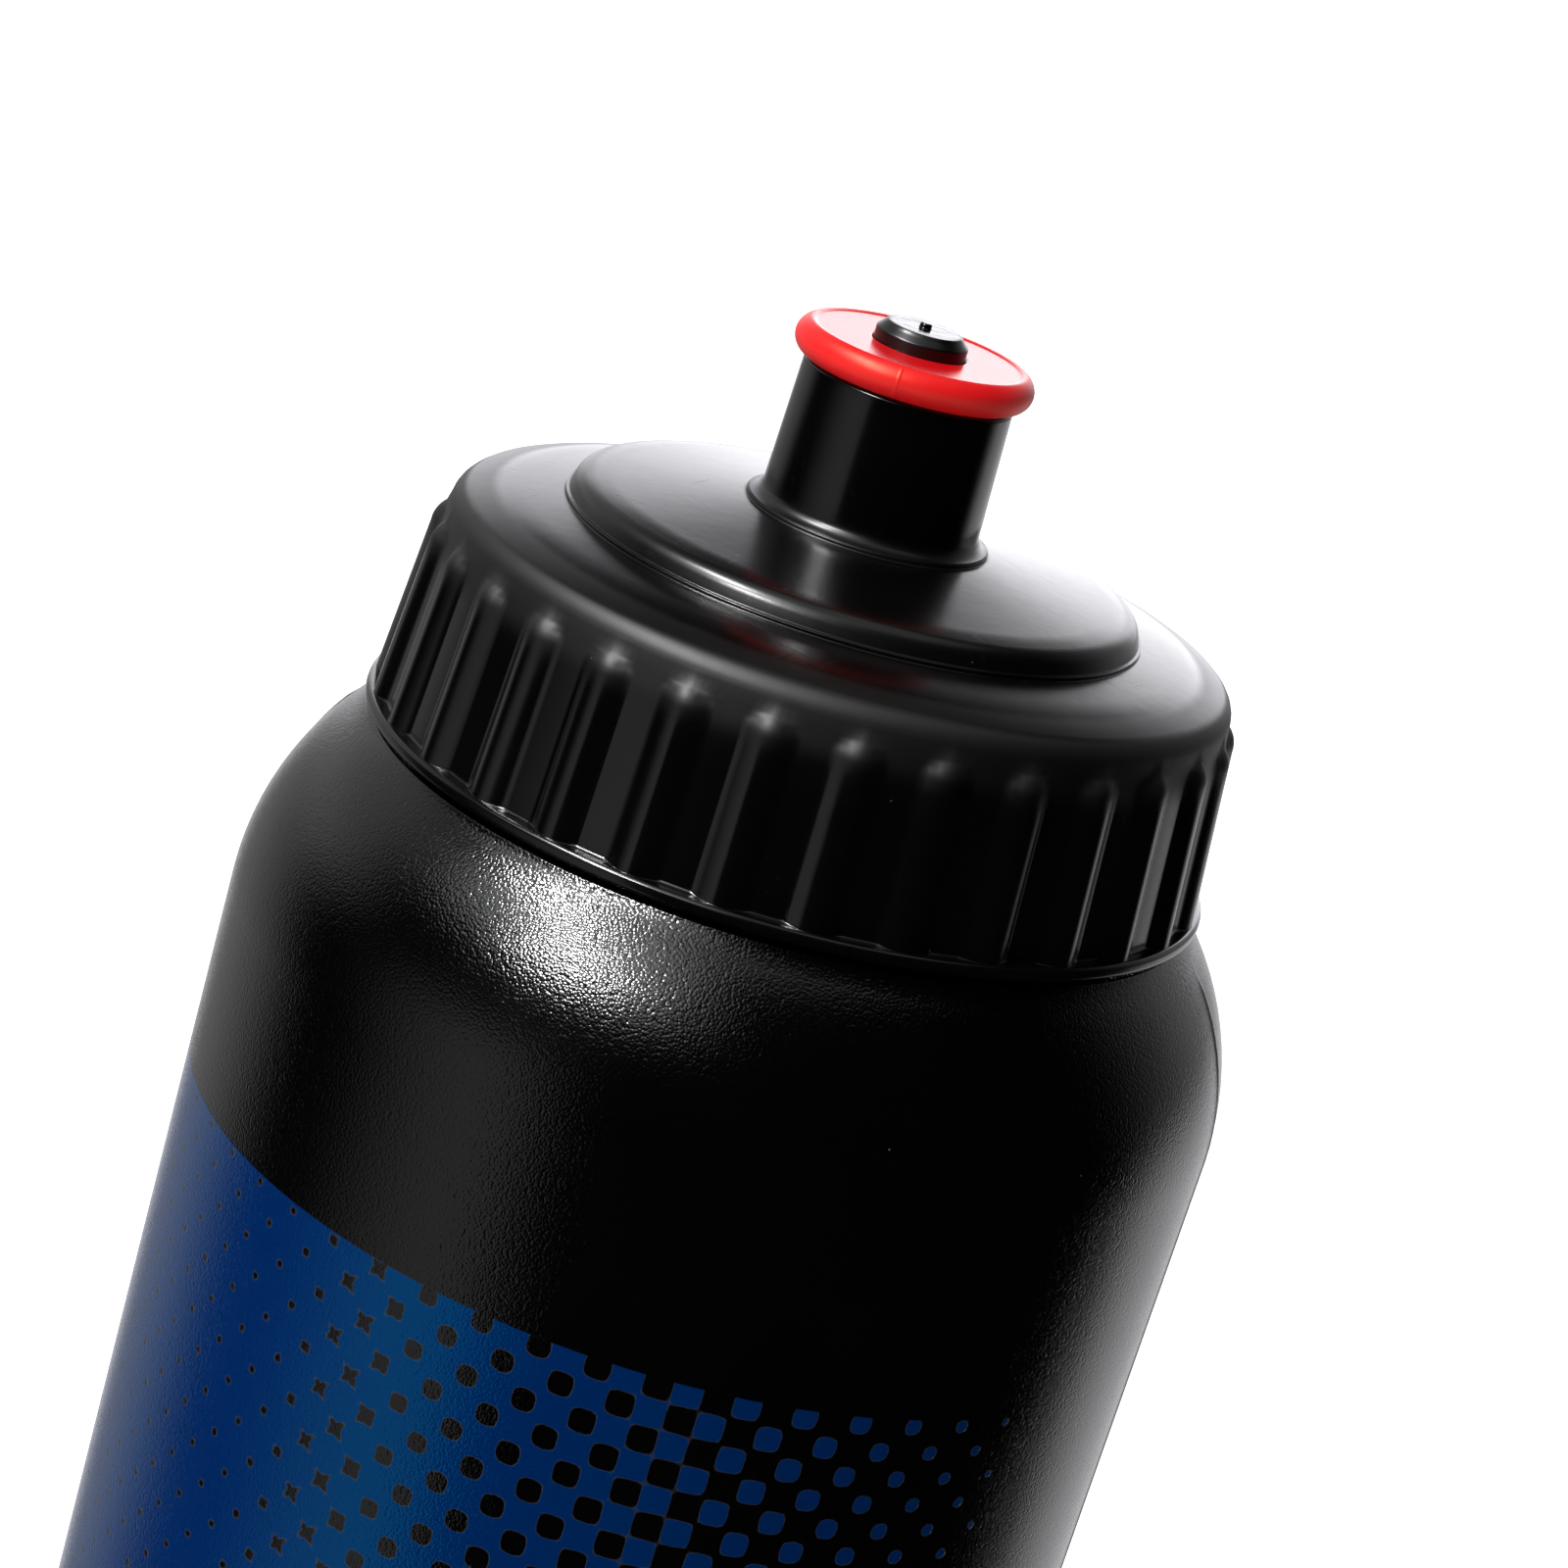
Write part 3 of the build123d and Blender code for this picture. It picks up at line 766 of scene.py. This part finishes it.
# soft bright patches that the bottle mirrors. "round" is in degrees from the front towards +X and on round the
# back, "lift" is in degrees up, and each says where the patch starts, is full, is still full, and ends
patches = [
    {"round": (150, 170, 190, 212), "lift": (-9, -2, 17, 29), "level": 2.2, "tint": (0.99, 0.98, 1.04)},
    {"round": (150, 168, 176, 190), "lift": (-6, 4, 12, 20), "level": 0.6, "tint": (0.98, 1.0, 1.02)},
    {"round": (110, 131, 194, 204), "lift": (-70, -60, -14, 0), "level": 0.85, "tint": (1.0, 0.99, 1.02)},
    {"round": (100, 150, 175, 190), "lift": (-6, 0, 20, 48), "level": 0.45, "tint": (1.0, 0.99, 1.01)},
    {"round": (190, 212, 236, 257), "lift": (-70, -60, 5, 12), "level": 0.34, "tint": (1.0, 1.0, 1.0)},
    {"round": (190, 212, 250, 275), "lift": (0, 10, 32, 52), "level": 0.50, "tint": (1.0, 1.0, 1.0)},
    {"round": (272, 316, 325, 330), "lift": (-70, -60, 1, 11), "level": 0.46, "tint": (1.0, 0.99, 1.01)},
    {"round": (266, 283, 338, 359), "lift": (28, 35, 60, 70), "level": 2.2, "tint": (1.0, 1.0, 1.0)},
    {"round": (-2, -1, 361, 362), "lift": (56, 68, 91, 92), "level": 0.5, "tint": (1.0, 1.0, 1.0)},
]


def placeCamera():
    data = bpy.data.cameras.new("camera")
    data.lens = camera["lens"]
    data.sensor_width = camera["film"]
    data.clip_start, data.clip_end = 0.01, 100
    eye = bpy.data.objects.new("camera", data)
    scene.collection.objects.link(eye)
    across, back, up = camera["place"]
    turn = Matrix.Rotation(radians(camera["turn"]), 4, "Z")
    tip = Matrix.Rotation(radians(90 - camera["tip"]), 4, "X")
    roll = Matrix.Rotation(radians(camera["roll"]), 4, "Z")
    place = Matrix.Translation((across * mm, back * mm, (rimHeight + up) * mm))
    eye.matrix_world = place @ turn @ tip @ roll
    scene.camera = eye


def placeFloor():
    # it glows more further out, so that it meets the white surroundings without an edge
    bm = bmesh.new()
    bmesh.ops.create_circle(bm, cap_ends=True, segments=96, radius=studio["floorRadius"])
    mesh = bpy.data.meshes.new("floor")
    bm.to_mesh(mesh)
    bm.free()
    floor = bpy.data.objects.new("floor", mesh)
    scene.collection.objects.link(floor)
    floor.visible_glossy = False
    material, tree, shader = startMaterial("paleFloor", Roughness=0.9, Specular_IOR_Level=0.0)
    place = objectPlace(tree)
    tint = mixColour(tree, noise(tree, place, 3.0), (0.84, 0.84, 0.84, 1), (0.86, 0.86, 0.86, 1))
    tree.links.new(tint, shader.inputs["Base Color"])
    radius = put(tree, "ShaderNodeVectorMath", {0: place}, operation="LENGTH").outputs["Value"]
    near, far = studio["floorFade"]
    glow = blendValue(tree, step(tree, radius, near, far), studio["floorGlow"], 1.0)
    shader.inputs["Emission Color"].default_value = (1, 1, 1, 1)
    tree.links.new(glow, shader.inputs["Emission Strength"])
    mesh.materials.append(material)


def placeLamps():
    # two bright lamps inside the big soft box, high on the left in front
    middle = Vector((0, 0, rimHeight * mm))
    for number, lamp in enumerate(studio["lamps"]):
        data = bpy.data.lights.new("lamp%d" % number, "AREA")
        data.shape = "RECTANGLE"
        data.size, data.size_y = studio["lampSize"]
        data.energy = lamp["power"]
        light = bpy.data.objects.new(data.name, data)
        scene.collection.objects.link(light)
        turn, lift = radians(lamp["turn"]), radians(lamp["lift"])
        away = Vector((sin(turn) * cos(lift), -cos(turn) * cos(lift), sin(lift)))
        facing = away.to_track_quat("Z", "Y").to_matrix().to_4x4()
        light.matrix_world = Matrix.Translation(middle + away * studio["lampDistance"]) @ facing
        light.visible_camera = False


def lightStudio():
    # white behind everything that the camera sees, and dark with soft patches for all that it lights
    world = bpy.data.worlds.new("studio")
    scene.world = world
    world.use_nodes = True
    tree = world.node_tree
    tree.nodes.clear()
    direction = put(tree, "ShaderNodeTexCoord", {}).outputs["Generated"]
    x, y, z = put(tree, "ShaderNodeSeparateXYZ", {"Vector": direction}).outputs
    turn = calc(tree, "MULTIPLY", calc(tree, "ARCTAN2", x, calc(tree, "MULTIPLY", y, -1.0)), 180 / pi)
    turn = calc(tree, "FLOORED_MODULO", turn, 360.0)
    lift = calc(tree, "MULTIPLY", calc(tree, "ARCSINE", z), 180 / pi)
    ambient = studio["ambient"]
    total = combine(tree, X=ambient, Y=ambient, Z=ambient)
    for patch in patches:
        share = patch["level"]
        for value, (start, full, still, end) in ((turn, patch["round"]), (lift, patch["lift"])):
            share = calc(tree, "MULTIPLY", step(tree, value, start, full), share)
            share = calc(tree, "MULTIPLY", calc(tree, "SUBTRACT", 1.0, step(tree, value, still, end)), share)
        tinted = calcVector(tree, "SCALE", {0: patch["tint"], "Scale": share})
        total = calcVector(tree, "ADD", {0: total, 1: tinted})
    seen = put(tree, "ShaderNodeLightPath", {}).outputs["Is Camera Ray"]
    white = put(tree, "ShaderNodeBackground", {"Color": (1, 1, 1, 1), "Strength": 1.0}).outputs[0]
    patched = put(tree, "ShaderNodeBackground", {"Color": total, "Strength": 1.0}).outputs[0]
    mixed = put(tree, "ShaderNodeMixShader", {0: seen, 1: patched, 2: white}).outputs[0]
    put(tree, "ShaderNodeOutputWorld", {"Surface": mixed})


def setLook():
    # plain colours, as lit
    scene.view_settings.view_transform = "Standard"
    scene.view_settings.look = "None"
    scene.view_settings.exposure = 0.0
    scene.view_settings.gamma = 1.0


placeCamera()
placeFloor()
placeLamps()
lightStudio()
setLook()
print("camera and studio placed")
buildBody()
buildLid()
buildGasket()
buildValve()
print("pieces built")
